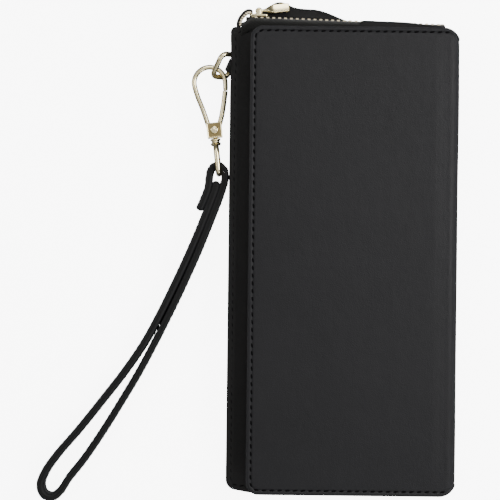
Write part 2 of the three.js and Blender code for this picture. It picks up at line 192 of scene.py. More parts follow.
# The sky brightens towards the top
sky = bpy.data.worlds.new("studio")
bpy.context.scene.world = sky
sky.use_nodes = True
skyWiring = Wiring(sky.node_tree)
heading = skyWiring.add("ShaderNodeTexCoord", {}, {}, "Generated")
height = skyWiring.add("ShaderNodeSeparateXYZ", {}, {0: heading}, "Z")
skyStops = ((0.3, 0.16), (0.97, 0.95))  # height and grey
fade = skyWiring.add("ShaderNodeValToRGB", {"easing": "EASE", "stops": skyStops}, {0: height})
sky.node_tree.links.new(fade.socket, sky.node_tree.nodes["Background"].inputs["Color"])
sky.node_tree.nodes["Background"].inputs["Strength"].default_value = 1.0


def leatherLook(name, dark, light, rough, grain, edge):
    look = Look(name, {"Specular IOR Level": 0.2})
    broad = look.cloud(26, 6, 0.65)
    fine = look.cloud(900, 5, 0.6)
    pores = look.add("ShaderNodeTexVoronoi", {"feature": "DISTANCE_TO_EDGE"},
                     {"Scale": grain, "Vector": look.place()})
    creases = look.cloud(160, 6, 0.62, look.place((1, 0.55, 1)))
    rim = look.add("ShaderNodeAttribute", {"attribute_name": "rim"}, {}, "Fac")
    look.feed("Base Color", look.mix(rim, look.mix(broad * 0.8 + fine * 0.2, dark, light), edge))
    look.feed("Roughness", broad * 0.2 + fine * 0.12 + creases * 0.1 + rim * 0.3 + rough - 0.1)
    look.bump(pores * 1.2 + fine * 0.6 + creases * 2.6, 0.6, 0.14)
    return look.material


def clothLook(name, dark, light, pitch, turn):
    look = Look(name, {"Specular IOR Level": 0.15, "Sheen Weight": 0.06, "Sheen Roughness": 0.5})
    warp = look.bands(pitch, look.place((1, 1, 1), (0, 0, turn)))
    weft = look.bands(pitch * 1.7, look.place((1, 1, 1), (0.3, 0.3, turn + pi / 2)))
    fluff = look.cloud(1500, 3, 0.6)
    look.feed("Base Color", look.mix(warp * 0.6 + fluff * 0.4, dark, light))
    look.feed("Roughness", fluff * 0.2 + 0.72)
    look.bump(warp + weft * 0.6 + fluff * 0.3, 0.5, 0.15)
    return look.material


def metalLook(name, dark, light, rough):
    look = Look(name, {"Metallic": 1})
    cloudy = look.cloud(260, 4, 0.6)
    scuffs = look.cloud(1400, 5, 0.7, look.place((1, 0.3, 1)))
    look.feed("Base Color", look.mix(cloudy, dark, light))
    look.feed("Roughness", scuffs * 0.14 + cloudy * 0.06 + rough)
    look.bump(scuffs + cloudy * 0.5, 0.12, 0.05)
    return look.material


def threadLook(name, dark, light):
    look = Look(name, {"Specular IOR Level": 0.08})
    twist = look.bands(900, look.place((1, 1, 1), (0, 0, 0.7)))
    fluff = look.cloud(3000, 2, 0.5)
    look.feed("Base Color", look.mix(fluff, dark, light))
    look.feed("Roughness", fluff * 0.2 + 0.7)
    look.bump(twist + fluff * 0.4, 0.5, 0.08)
    return look.material


# Leather: dark and light tones, roughness, pores to the metre, and the tone of its cut edge
looks = {
    "cover": leatherLook("cover leather", (0.0065, 0.0065, 0.0075), (0.0125, 0.0125, 0.014), 0.4, 1500,
                         (0.005, 0.005, 0.0055)),
    # The pocket leather is the cover's leather at about half its tone: painted shade on the wall, zip lip and
    # facing that lie below the flap's edge
    "pocket": leatherLook("pocket leather painted shade", (0.0035, 0.0034, 0.0034), (0.0065, 0.0062, 0.006), 0.48, 1400,
                          (0.003, 0.003, 0.003)),
    "card": leatherLook("card leather", (0.013, 0.013, 0.014), (0.022, 0.022, 0.024), 0.45, 1700,
                        (0.006, 0.006, 0.007)),
    "strap": leatherLook("strap leather", (0.006, 0.006, 0.0065), (0.014, 0.014, 0.015), 0.4, 1500,
                         (0.006, 0.006, 0.006)),
    "lining": clothLook("twill lining", (0.006, 0.006, 0.007), (0.02, 0.02, 0.022), 420, 0.8),
    "gusset": clothLook("coated fabric", (0.005, 0.005, 0.006), (0.014, 0.014, 0.015), 620, 0),
    "tape": clothLook("woven tape", (0.003, 0.003, 0.003), (0.013, 0.013, 0.012), 520, 1.2),
    "gold": metalLook("pale gold", (0.78, 0.66, 0.36), (0.96, 0.86, 0.55), 0.08),
    "zip": metalLook("zip gold", (0.6, 0.5, 0.33), (0.86, 0.78, 0.6), 0.2),
    "snap": metalLook("satin gold", (0.5, 0.42, 0.27), (0.68, 0.6, 0.44), 0.3),
    # A darker copy of the polished gold for the hook base's sunk faces: a painted dark reflection, not a
    # darker metal
    "painted_reflection_gold": metalLook("painted reflection gold", (0.2, 0.15, 0.065), (0.36, 0.28, 0.13), 0.22),
    "thread": threadLook("black thread", (0.0008, 0.0008, 0.001), (0.003, 0.003, 0.0035)),
}


def floorLook():
    look = Look("pale floor", {"Specular IOR Level": 0.1, "Emission Strength": 7.5})
    tint = look.mix(look.cloud(3, 2), (0.97, 0.97, 0.97), (1, 1, 1))
    look.feed("Base Color", tint)
    look.feed("Emission Color", tint)
    look.feed("Roughness", look.cloud(40, 2) * 0.1 + 0.8)
    return look.material


def objectFrom(name, bm, look):
    mesh = bpy.data.meshes.new(name)
    bm.to_mesh(mesh)
    bm.free()
    mesh.materials.append(look)
    mesh.polygons.foreach_set("use_smooth", [True] * len(mesh.polygons))
    piece = bpy.data.objects.new(name, mesh)
    bpy.context.scene.collection.objects.link(piece)
    return piece


floorSheet = bmesh.new()
bmesh.ops.create_grid(floorSheet, x_segments=1, y_segments=1, size=4)
floor = objectFrom("floor", floorSheet, floorLook())
floor.location = (0, 0, -0.3 * mm)
floor.visible_glossy = False  # metal keeps its dark edges
floor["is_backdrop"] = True


def dressed(piece, finish, body, *nodes):
    if body:
        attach(piece, body)
    if nodes:
        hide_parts(*nodes)
    return piece


# Modifiers are applied, so that each piece is one plain mesh
def settled(piece):
    graph = bpy.context.evaluated_depsgraph_get()
    mesh = bpy.data.meshes.new_from_object(piece.evaluated_get(graph), depsgraph=graph)
    look = piece.data.materials[0]
    name = piece.name
    bpy.data.objects.remove(piece)
    if not mesh.materials:
        mesh.materials.append(look)
    mesh.polygons.foreach_set("use_smooth", [True] * len(mesh.polygons))
    final = bpy.data.objects.new(name, mesh)
    bpy.context.scene.collection.objects.link(final)
    return final


# Places along a length: close together at the edges that are sewn, even in between
edgeStops = [0, 0.05, 0.16, 0.36, 0.7, 1.15, 1.55, 1.85, 2.1, 2.35, 2.65, 3.1, 3.7, 4.5]


def spread(length, step, low=True, high=True, dense=None):
    near = [d for d in edgeStops if d < 0.42 * length]
    first = near if low else [0]
    last = [length - d for d in reversed(near)] if high else [length]
    if dense:
        start, end, fine = dense
        runs = [(first[-1], start, step), (start, end, fine), (end, last[0], step)]
    else:
        runs = [(first[-1], last[0], step)]
    middle = []
    for a, b, size in runs:
        count = max(1, round((b - a) / size))
        middle += [a + (b - a) * k / count for k in range(1, count + 1)]
    return first + middle[:-1] + last


# A line in a plane, given by close points: its length, and its place and normal at a distance along it
def lineThrough(points):
    points = [Vector(p) for p in points]
    reach = [0.0]
    for a, b in zip(points, points[1:]):
        reach.append(reach[-1] + (b - a).length)
    normals = []
    for i in range(len(points)):
        run = (points[min(i + 1, len(points) - 1)] - points[max(i - 1, 0)]).normalized()
        normals.append(Vector((-run.y, run.x)))

    def at(distance):
        k = min(max(bisect_right(reach, distance) - 1, 0), len(points) - 2)
        part = (distance - reach[k]) / max(reach[k + 1] - reach[k], 1e-9)
        return points[k].lerp(points[k + 1], part), normals[k].lerp(normals[k + 1], part).normalized()

    return reach[-1], at


# Catmull-Rom through a few points, with the speed evened out at close ones
def smoothLine(points, steps=12):
    points = [Vector(p) for p in points]
    ends = [points[0] * 2 - points[1], *points, points[-1] * 2 - points[-2]]
    out = []
    for a, b, c, d in zip(ends, ends[1:], ends[2:], ends[3:]):
        t1 = sqrt(max((b - a).length, 1e-6))
        t2 = t1 + sqrt(max((c - b).length, 1e-6))
        t3 = t2 + sqrt(max((d - c).length, 1e-6))
        for i in range(steps):
            t = t1 + (t2 - t1) * i / steps
            ab = a.lerp(b, t / t1)
            bc = b.lerp(c, (t - t1) / (t2 - t1))
            cd = c.lerp(d, (t - t2) / (t3 - t2))
            out.append(ab.lerp(bc, t / t2).lerp(bc.lerp(cd, (t - t1) / (t3 - t1)), (t - t1) / (t2 - t1)))
    return out + [points[-1]]


def arcPoints(centre, radius, start, end, steps=12):
    turns = [radians(start + (end - start) * i / steps) for i in range(steps + 1)]
    return [(centre[0] + radius * cos(a), centre[1] + radius * sin(a)) for a in turns]


# A square corner block bent round to a quarter circle
def rounded(ds, dy, radius):
    a, b = radius - ds, radius - dy
    if a <= 0 or b <= 0:
        return ds, dy
    reach = max(a, b)
    turn = pi / 4 * b / a if a >= b else pi / 2 - pi / 4 * a / b
    return radius - reach * cos(turn), radius - reach * sin(turn)


# One sheet of even thickness with full, rounded edges: cut["line"] is its section, and it runs along Y.
# cut["corners"] holds a radius for low start, high start, low end and high end.
# cut["open"] leaves the end square, and cut["dense"] gives a stretch with closer rows.
def hide(name, look, cut, relief=None, warp=None, turn=None):
    length, at = lineThrough(cut["line"])
    half = cut["half"] if callable(cut["half"]) else lambda s: cut["half"]
    isOpen = cut.get("open", False)
    columns = spread(length, cut["step"], True, not isOpen, cut.get("dense"))
    reach = half(0)
    rows = spread(2 * reach, cut.get("rowStep", cut["step"]))
    corners = cut["corners"]
    rim = cut.get("rim", 0.7 * cut["thick"])
    bm = bmesh.new()
    for level in (0, 1):
        bmesh.ops.create_grid(bm, x_segments=len(columns) - 1, y_segments=len(rows) - 1, size=1,
                              matrix=Matrix.Translation((0, 0, level)))
    rimLayer = bm.verts.layers.float.new("rim")
    for v in bm.verts:
        s = columns[round((v.co.x + 1) / 2 * (len(columns) - 1))]
        t = rows[round((v.co.y + 1) / 2 * (len(rows) - 1))]
        side = 1 if v.co.z < 0.5 else -1
        isHigh = t > reach
        ds, fromEnd, dy = s, length - s, min(t, 2 * reach - t)
        edge = min(ds, dy) if isOpen else min(ds, dy, fromEnd)
        if ds <= fromEnd:
            s, dy = rounded(ds, dy, corners[1 if isHigh else 0])
        else:
            back, dy = rounded(fromEnd, dy, corners[3 if isHigh else 2])
            s = length - back
        squeeze = 1 + (half(s) / reach - 1) * dy / reach  # the rows still meet in the middle
        y = (half(s) - dy * squeeze) * (1 if isHigh else -1)
        centre, up = at(s)
        swell = sqrt(max(0, 1 - (1 - edge / rim) ** 2)) if edge < rim else 1
        lift = side * cut["thick"] / 2 * swell
        if relief:
            lift += relief(s, y, edge, side)
        place = Vector((centre.x + up.x * lift, y, centre.y + up.y * lift))
        if warp:
            place = warp(place)
        if turn:
            place = turn @ place
        v.co = place * mm
        v[rimLayer] = max(0, 1 - edge / 0.3)
    bmesh.ops.remove_doubles(bm, verts=bm.verts, dist=1e-6)
    if isOpen:
        openEdges = [e for e in bm.edges if e.is_boundary]
        bmesh.ops.holes_fill(bm, edges=openEdges)
        for side in openEdges:
            side.smooth = False
    bmesh.ops.recalc_face_normals(bm, faces=bm.faces)
    return objectFrom(name, bm, look)


# Threads laid over a line of places, each given with its run and the normal of the leather
def stitches(name, places, size):
    bm = bmesh.new()
    for place, run, up in places:
        run, up = run.normalized(), up.normalized()
        across = up.cross(run)
        run = (run * cos(size["slant"]) + across * sin(size["slant"])).normalized()
        across = up.cross(run)
        thin = size["thick"] / 2
        frameOf = Matrix((run * size["long"] / 2, across * thin, up * thin)).transposed()
        where = Matrix.Translation(place * mm) @ (frameOf * mm).to_4x4()
        bmesh.ops.create_uvsphere(bm, u_segments=8, v_segments=5, radius=1, matrix=where)
    return objectFrom(name, bm, looks["thread"])


def evenly(points, pitch):
    length, at = lineThrough(points)
    count = int(length / pitch)
    out = []
    for k in range(count):
        d = (length - count * pitch) / 2 + pitch * (k + 0.5)
        place, normal = at(d)
        out.append((place, Vector((normal.y, -normal.x))))
    return out


# A round wire through points in 3-D
def wire(name, points, radius, look, closed=False, taper=None):
    curve = bpy.data.curves.new(name, "CURVE")
    curve.dimensions = "3D"
    curve.bevel_depth = radius * mm
    curve.bevel_resolution = 5
    curve.use_fill_caps = not closed
    run = curve.splines.new("POLY")
    run.points.add(len(points) - 1)
    for i, (point, place) in enumerate(zip(run.points, points)):
        point.co = (*(Vector(place) * mm), 1)
        point.radius = taper(i, len(points)) if taper else 1
    run.use_cyclic_u = closed
    curve.materials.append(look)
    thing = bpy.data.objects.new(name, curve)
    bpy.context.scene.collection.objects.link(thing)
    return settled(thing)


# A CAD node's own shape with its edges rounded over
def softened(name, node, look, width=0.15, angle=32, turn=None):
    bm = bmesh.new()
    bm.from_mesh(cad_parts[node].data)
    if turn:
        bmesh.ops.transform(bm, matrix=turn, verts=bm.verts)
    bmesh.ops.remove_doubles(bm, verts=bm.verts, dist=2e-6)
    bmesh.ops.dissolve_limit(bm, angle_limit=0.02, verts=bm.verts, edges=bm.edges)
    piece = objectFrom(name, bm, look)
    bevel = piece.modifiers.new("edges", "BEVEL")
    bevel.width = width * mm
    bevel.segments = 3
    bevel.limit_method = "ANGLE"
    bevel.angle_limit = radians(angle)
    bevel.harden_normals = True
    return settled(piece)


def ripple(x, y, seed, size=45):
    return noise.noise(Vector((x / size, y / size, seed)))


def groove(edge, inset, depth, width=0.32):
    return -depth * exp(-((edge - inset) / width) ** 2)


print("stage: cover")
cover = {"thick": 1.6, "fold": 4, "inset": 2.1, "pitch": 3.3, "crown": 0.35, "corner": 5.5, "foldCorner": 7,
         "groove": 0.34, "backGroove": 0.2, "puff": 0.13, "puffInset": 1.1, "puffWide": 0.6, "crownWide": 9,
         "wave": 0.22, "waveFade": 4, "crease": 0.45, "wander": 0.5,
         "creases": ((1.6, 0.02), (3.1, 0.03), (5.2, 0.015))}  # distance from the fold, and depth
flapLow, flapHigh = lowHigh("flap_panel")
spineLow, spineHigh = lowHigh("spine_panel")
backLow, backHigh = lowHigh("back_panel")
midRadius = cover["fold"] - cover["thick"] / 2
spineX = spineHigh.x
foldX = spineX - cover["fold"]
midZ = (spineLow.z + spineHigh.z) / 2
lowFoldZ = backLow.z + cover["fold"]
highFoldZ = flapHigh.z - cover["fold"]
backMid = backLow.z + cover["thick"] / 2
flapMid = flapHigh.z - cover["thick"] / 2


def coverHalf(high, corner):
    def half(x):
        into = min(max(x - (spineX - corner), 0), corner)
        return high - corner + sqrt(corner ** 2 - into ** 2)
    return half


flapLine = [(flapLow.x, flapMid), (0, flapMid), (foldX - 1, flapMid)]
flapLine += arcPoints((foldX, highFoldZ), midRadius, 90, 0) + [(foldX + midRadius, midZ)]
backLine = [(backLow.x, backMid), (0, backMid), (foldX - 1, backMid)]
backLine += arcPoints((foldX, lowFoldZ), midRadius, -90, 0) + [(foldX + midRadius, midZ)]


def coverCut(line, high, start):
    length, at = lineThrough(line)
    plan = coverHalf(high, cover["foldCorner"])
    flat = foldX - start
    return {"line": line, "half": lambda s: plan(at(s)[0].x), "thick": cover["thick"], "step": 4,
            "rowStep": 3.2, "open": True, "dense": (flat - 8, flat + 7, 0.55),
            "corners": (cover["corner"], cover["corner"], 0, 0)}


def flapRelief(s, y, edge, side):
    if side < 0:
        return 0
    x = flapLow.x + s
    onFlat = 1 if x < foldX - 6 else max(0, 1 - (x - foldX + 6) / 5)
    puff = cover["puff"] * exp(-((edge - cover["puffInset"]) / cover["puffWide"]) ** 2)
    crown = cover["crown"] * (1 - exp(-edge / cover["crownWide"])) * onFlat
    creases = 0
    for k, (place, deep) in enumerate(cover["creases"]):
        wander = cover["wander"] * ripple(y, k * 7, 3, 30)
        creases -= deep * exp(-((x - (foldX - place) - wander) / cover["crease"]) ** 2)
    fade = min(1, edge / cover["waveFade"])
    soft = (creases + cover["wave"] * ripple(x, y, 1)) * fade
    return groove(edge, cover["inset"], cover["groove"]) + puff + crown + soft


def backRelief(s, y, edge, side):
    return groove(edge, cover["inset"], cover["backGroove"]) * (1 if side < 0 else 0)


flapCover = hide("flapCover", looks["cover"], coverCut(flapLine, flapHigh.y, flapLow.x), flapRelief)
dressed(flapCover, "cover", None, "flap_panel")
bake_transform(flapCover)
backCover = hide("backCover", looks["cover"], coverCut(backLine, backHigh.y, backLow.x), backRelief)
dressed(backCover, "cover", None, "back_panel", "spine_panel")
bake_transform(backCover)


# A sewn line inset from three sides of a panel
def insetLine(x0, x1, half, radius, inset):
    r = radius - inset
    line = [(x1, half - inset)] + arcPoints((x0 + radius, half - radius), r, 90, 180, 6)
    line += arcPoints((x0 + radius, -half + radius), r, 180, 270, 6) + [(x1, -half + inset)]
    return line


thread = {"long": 2.3, "thick": 0.95, "slant": 0.22, "flapSeat": 0.16, "backSeat": 0.12}
sewn = insetLine(flapLow.x, foldX + 1.0, flapHigh.y, cover["corner"], cover["inset"])
seatZ = flapHigh.z - thread["flapSeat"]
flapStitches = stitches("flapStitches", [
    (Vector((p.x, p.y, seatZ)), Vector((run.x, run.y, 0)), Vector((0, 0, 1)))
    for p, run in evenly(sewn, cover["pitch"])
], thread)
dressed(flapStitches, "thread", "flap")
backSewn = insetLine(backLow.x, foldX, backHigh.y, cover["corner"], cover["inset"])
backStitches = stitches("backStitches", [
    (Vector((p.x, p.y, backLow.z + thread["backSeat"])), Vector((run.x, run.y, 0)), Vector((0, 0, -1)))
    for p, run in evenly(backSewn, cover["pitch"])
], dict(thread, thick=0.34))
dressed(backStitches, "thread", "body")


print("stage: pages and linings")
page = {"mouthInset": 2.1, "pitch": 2.6, "corners": (0.6, 0.6, 1.5, 1.5), "seat": 0.06, "thread": 0.3}


# A flat sheet that fills a node's box
def flatSheet(name, node, finish, corners, relief=None, step=6):
    low, high = lowHigh(node)
    z = (low.z + high.z) / 2
    middle = (low.y + high.y) / 2
    cut = {"line": [(low.x, z), (0, z), (high.x, z)], "half": (high.y - low.y) / 2, "thick": high.z - low.z,
           "step": step, "corners": corners}
    return hide(name, looks[finish], cut, relief, lambda p: p + Vector((0, middle, 0)))


for side, body, up in (("rear", "body", 1), ("flap", "flap", -1)):
    for i in range(1, 5):
        node = f"{side}_card_panel_{i}"
        low, high = lowHigh(node)

        def cardRelief(s, y, edge, face, length=high.x - low.x, up=up):
            fromMouth = length - s
            seam = groove(fromMouth, page["mouthInset"], 0.08, 0.4) + groove(fromMouth, 0.7, -0.03, 0.5)
            middle = 0.1 * exp(-(y / 1.5) ** 2)
            return seam - middle if face == up else 0

        name = f"{side}CardPanel{i}"
        dressed(flatSheet(name, node, "card", page["corners"], cardRelief), "card", body, node)
        mouthX = high.x - page["mouthInset"]
        faceZ = high.z - page["seat"] if up > 0 else low.z + page["seat"]
        places = [(Vector((mouthX, p.x, faceZ)), Vector((0, 1, 0)), Vector((0, 0, up)))
                  for p, run in evenly([(low.y + 2, 0), (high.y - 2, 0)], page["pitch"])]
        dressed(stitches(name + "Stitches", places, dict(thread, thick=page["thread"])), "thread", body)

for name, node, body in (("flapLining", "flap_lining", "flap"),
                         ("pocketRearLining", "pocket_rear_lining", "body"),
                         ("pocketFrontLining", "pocket_front_lining", "body")):
    piece = flatSheet(name, node, "lining", (3, 3, 3, 3), lambda s, y, e, side: 0.06 * ripple(s, y, 5, 20))
    dressed(piece, "lining", body, node)

low, high = lowHigh("spine_lining")
liningX = (low.x + high.x) / 2
spineCut = {"line": [(low.z, liningX), (midZ, liningX + 0.05), (high.z, liningX)], "half": high.y,
            "thick": high.x - low.x, "step": 4, "corners": (2, 2, 2, 2)}
upright = Matrix(((0, 0, 1), (0, 1, 0), (1, 0, 0)))  # X and Z change places
spineLining = hide("spineLining", looks["lining"], spineCut, None, None, upright)
dressed(spineLining, "lining", "spine", "spine_lining")


print("stage: pocket")
wallLow, wallHigh = lowHigh("pocket_front_wall")
pocket = {"fold": 3.2, "seamX": -44.6, "hemInset": 2.2, "corners": (4.5, 2.2, 6, 6), "groove": 0.16,
          "wave": 0.25, "seam": 0.12, "roll": 0.18, "rollInset": 2.4, "sheet": 0.8, "gussetCorner": 3}
sag = {"belly": 1.5, "bellyX": -37, "bellyWide": 5, "bellyTop": -90, "bellyTall": 9,
       "waist": 0.35, "waistY": 84, "waistTall": 7, "waistWide": 6,
       "rise": 1.4, "riseTall": 15, "riseEnd": -30}


def wallRelief(s, y, edge, side):
    if side < 0:
        return 0
    x = wallLow.x + s
    seam = -pocket["seam"] * exp(-((x - pocket["seamX"]) / 0.3) ** 2)
    roll = pocket["roll"] * exp(-((x - wallLow.x - pocket["rollInset"]) / 1.6) ** 2)
    wave = pocket["wave"] * ripple(x, y, 2, 30) * min(1, edge / 3)
    return groove(edge, pocket["hemInset"], pocket["groove"]) + seam + roll + wave


# The wall bellies out at the bottom, narrows by the zip and lifts to its end
def wallSag(p):
    belly = sag["belly"] * exp(-((p.x - sag["bellyX"]) / sag["bellyWide"]) ** 2)
    belly *= max(0, (sag["bellyTop"] - p.y) / sag["bellyTall"])
    waist = sag["waist"] * exp(-((p.y - sag["waistY"]) / sag["waistTall"]) ** 2)
    waist *= max(0, 1 - (p.x - wallLow.x) / sag["waistWide"])
    rise = sag["rise"] * max(0, (p.y - sag["waistY"]) / sag["riseTall"]) if p.x < sag["riseEnd"] else 0
    return p + Vector((waist, rise - belly, 0))


wallZ = (wallLow.z + wallHigh.z) / 2
wallCut = {"line": [(wallLow.x, wallZ), (0, wallZ), (wallHigh.x, wallZ)], "half": wallHigh.y,
           "thick": wallHigh.z - wallLow.z, "step": 4, "corners": pocket["corners"]}
frontWall = hide("pocketFrontWall", looks["pocket"], wallCut, wallRelief, wallSag)
dressed(frontWall, "pocket", "body", "pocket_front_wall")
wallSewn = insetLine(wallLow.x, wallHigh.x - 4, wallHigh.y, pocket["corners"][0], pocket["hemInset"])
wallStitches = stitches("wallStitches", [
    (wallSag(Vector((p.x, p.y, wallHigh.z - 0.05))), Vector((run.x, run.y, 0)), Vector((0, 0, 1)))
    for p, run in evenly(wallSewn, cover["pitch"])
], dict(thread, thick=0.42))
dressed(wallStitches, "thread", "body")

gussetLow, gussetHigh = lowHigh("pocket_gusset")


# The bellows runs round three sides and folds inwards half way up
def bellows(name):
    sheet, corner = pocket["sheet"], pocket["gussetCorner"]
    x0, x1, y0, y1 = gussetLow.x, gussetHigh.x, gussetLow.y, gussetHigh.y
    path = [(x0, y1), (x0, 0)] + arcPoints((x0 + corner, y0 + corner), corner, 180, 270, 8)
    path += [(0, y0)] + arcPoints((x1 - corner, y0 + corner), corner, 270, 360, 8) + [(x1, 0), (x1, y1)]
    length, at = lineThrough(path)
    columns, rows = 150, 22
    bm = bmesh.new()
    bmesh.ops.create_grid(bm, x_segments=columns, y_segments=rows, size=1)
    for v in bm.verts:
        along, up = (v.co.x + 1) / 2, (v.co.y + 1) / 2
        place, inward = at(length * along)
        fade = min(1, along * 14, (1 - along) * 14)
        tuck = sheet / 2 + pocket["fold"] * max(0, sin(pi * up)) ** 0.8 * (0.4 + 0.6 * fade)
        tuck += 0.12 * ripple(length * along, up * 9, 8, 12)
        z = gussetLow.z + sheet / 2 + (gussetHigh.z - gussetLow.z - sheet) * up
        v.co = Vector((place.x + inward.x * tuck, place.y + inward.y * tuck, z)) * mm
    piece = objectFrom(name, bm, looks["gusset"])
    wall = piece.modifiers.new("wall", "SOLIDIFY")
    wall.thickness = sheet * mm
    wall.offset = 0
    return settled(piece)


dressed(bellows("pocketGusset"), "gusset", "body", "pocket_gusset")


print("stage: zip")
zipper = {"y": 102.95, "slope": -0.03, "tilt": 90, "rise": 8.8, "pitch": 2.54, "count": 32, "start": -40.01,
          "row": 0.5, "long": 1.9, "thick": 1.2, "cadY": 103.5, "cadTilt": 65, "tape": 0.6, "cord": 0.78,
          "facing": 0.8, "tuck": 2.2}
# Each tooth is three blocks: how far they stand from the chain's middle, and their length, width and height
toothBlocks = ((1.05, 1.7, 1.0, 1.4), (0.45, 0.7, 1.2, 1.1), (2.15, 1.1, 1.3, 2.1))
zipFrame = Matrix.Translation((0, zipper["y"], 0)) @ Matrix.Rotation(zipper["slope"], 4, "Z")
tilt = radians(zipper["tilt"])
faceFrame = zipFrame @ Matrix.Translation((0, 0, zipper["rise"])) @ Matrix.Rotation(-tilt, 4, "X")


def eased(value, low, high):
    t = min(max((value - low) / (high - low), 0), 1)
    return t * t * (3 - 2 * t)


# The rear side stands out past the chain: a steep hump by the slider, then a long fall to behind the chain
hump = {"crest": -28, "tall": 2.6, "near": 4.5, "far": 5, "out": 2.4, "slider": 3.2, "end": 6}


def bulge(x, y):
    wide = hump["near"] if x < hump["crest"] else hump["far"]
    peak = hump["tall"] * exp(-((x - hump["crest"]) / wide) ** 2)
    out = hump["out"] - hump["slider"] * eased(-x, 30, 41) - hump["end"] * eased(x, -14, 9)
    return (peak + out) * eased(y, 1.4, 2.8)


def toothRow(name, side):
    bm = bmesh.new()
    shift = 0 if side > 0 else zipper["pitch"] / 2
    for i in range(zipper["count"]):
        x = zipper["start"] + i * zipper["pitch"] + shift + zipper["thick"] / 2
        for reach, long, wide, high in toothBlocks:
            size = Matrix.Diagonal((wide, long, high, 1))
            where = faceFrame @ Matrix.Translation((x, side * (zipper["row"] + reach - 0.1), 0)) @ size
            bmesh.ops.create_cube(bm, size=mm, matrix=Matrix.Scale(mm, 4) @ where @ Matrix.Scale(1 / mm, 4))
    bmesh.ops.bevel(bm, geom=bm.edges, offset=0.14 * mm, segments=1, affect="EDGES", profile=0.5, material=-1)
    piece = objectFrom(name, bm, looks["zip"])
    piece.data.polygons.foreach_set("use_smooth", [False] * len(piece.data.polygons))
    return piece


dressed(toothRow("zipTeethRear", 1), "zip", "body", "zip_teeth_rear")
dressed(toothRow("zipTeethFront", -1), "zip", "body", "zip_teeth_front")


def faceLine(distance):
    return (cos(tilt) * distance, zipper["rise"] - sin(tilt) * distance)


# Strips that run along the chain: their section is in the zip's own Y and Z
def zipStrip(name, finish, points, thick, ends, swollen, relief=None):
    half = (ends[1] - ends[0]) / 2
    middle = (ends[0] + ends[1]) / 2

    def warp(p):
        x = middle + p.y
        y = p.x + (bulge(x, p.x) if swollen else -zipper["tuck"] * eased(-x, 39.5, 44.4))
        return zipFrame @ Vector((x, y, p.z))

    cut = {"line": smoothLine(points, 6), "half": half, "thick": thick, "step": 0.5, "rowStep": 2,
           "corners": (0.4, 0.4, 0.4, 0.4)}
    return hide(name, looks[finish], cut, relief, warp)


wallTop = wallHigh.z
rowOuter = zipper["row"] + zipper["long"]
frontLine = [faceLine(-rowOuter + 0.3), faceLine(-rowOuter - 1.4), (-1.6, wallTop + 0.6),
             (-5.2, wallTop + 0.45)]
frontTape = zipStrip("zipTapeFront", "tape", frontLine, zipper["tape"], (-44.4, 43.5), False)
dressed(frontTape, "tape", "body", "zip_tape_front")
# The cord that the teeth grip, on each tape's edge
for name, side in (("zipCordFront", -1), ("zipCordRear", 1)):
    ends = [faceFrame @ Vector((x, side * (rowOuter - 0.1), 0)) for x in (-42.5, 43.3)]
    dressed(wire(name, ends, zipper["cord"], looks["tape"]), "tape", "body")
rearLine = [faceLine(rowOuter - 0.3), faceLine(rowOuter + 1.6), (2.7, 4.6)]
rearTape = zipStrip("zipTapeRear", "tape", rearLine, zipper["tape"], (-40.5, 43.5), True)
dressed(rearTape, "tape", "body", "zip_tape_rear")
facingLine = [(1.2, 5.5), (2.35, 5.1), (3.0, 4.1), (3.45, 2.8), (3.2, 1.5), (2.0, 0.65), (0, 0.5),
              (-2.8, 0.5)]


def facingRelief(s, y, edge, side):
    return groove(s, 1.3, 0.16, 0.3) * (1 if side > 0 else 0)


rearFacing = zipStrip("zipRearFacing", "pocket", facingLine, zipper["facing"], (-40, 42.8), True,
                      facingRelief)
dressed(rearFacing, "pocket", "body", "zip_rear_band")
# Past the hump the pocket's edge folds over the chain, above the slider's way
lip = {"start": 3.5, "end": 44.3, "reach": 0.9, "thick": 0.7, "over": 14.6}


def lipWarp(p):
    x = (lip["start"] + lip["end"]) / 2 + p.y
    out = eased(x, lip["start"] - 1, lip["start"] + 5) * (1 - 0.25 * eased(x, 24, 43))
    y = p.x if p.x < -4 else -4 + (p.x + 4) * out
    return zipFrame @ Vector((x, y, p.z))


lipLine = smoothLine([(-5.4, wallTop + 0.5), (-3.6, lip["over"] + 0.5), (-1.2, lip["over"] + 0.3),
                      (lip["reach"], lip["over"] - 0.5)], 6)
lipCut = {"line": lipLine, "half": (lip["end"] - lip["start"]) / 2, "thick": lip["thick"], "step": 0.6,
          "rowStep": 1.5, "corners": (0.5, 0.5, 1.5, 2.6)}
dressed(hide("zipLip", looks["pocket"], lipCut, None, lipWarp), "pocket", "body")

# The CAD's chain leans at its own angle: its fittings turn with the one that shows
cadFace = Matrix.Translation((0, zipper["cadY"], 0)) @ Matrix.Rotation(zipper["slope"], 4, "Z")
cadFace = cadFace @ Matrix.Translation((0, 0, zipper["rise"]))
cadFace = cadFace @ Matrix.Rotation(-radians(zipper["cadTilt"]), 4, "X")
toShown = Matrix.Scale(mm, 4) @ faceFrame @ cadFace.inverted() @ Matrix.Scale(1 / mm, 4)
bottomStop = softened("zipBottomStop", "zip_bottom_stop", looks["zip"], 0.3, 32, toShown)
dressed(bottomStop, "zip", "body", "zip_bottom_stop")

tailLow, tailHigh = lowHigh("zip_tail")
tail = {"thick": 1.9, "pitch": 1.25, "tooth": (0.95, 1.1, 1.6), "inward": 0.75, "sunk": 0.5}
arch = smoothLine([(-39.6, 106.9), (-40.6, 107.4), (-42, 107.3), (-43.6, 106), (-44.9, 104.2), (-45.6, 102.2),
                   (-45.4, 100.2)], 6)
tailMiddle = (tailLow.z + tailHigh.z) / 2
tailCut = {"line": arch, "half": (tailHigh.z - tailLow.z) / 2, "thick": tail["thick"], "step": 0.6,
           "rowStep": 0.6, "corners": (0.5, 0.5, 0.5, 0.5)}
swapped = Matrix(((1, 0, 0), (0, 0, 1), (0, 1, 0)))  # Y and Z change places
zipTail = hide("zipTail", looks["tape"], tailCut, None, lambda p: swapped @ p + Vector((0, 0, tailMiddle)))
dressed(zipTail, "tape", "body", "zip_tail")


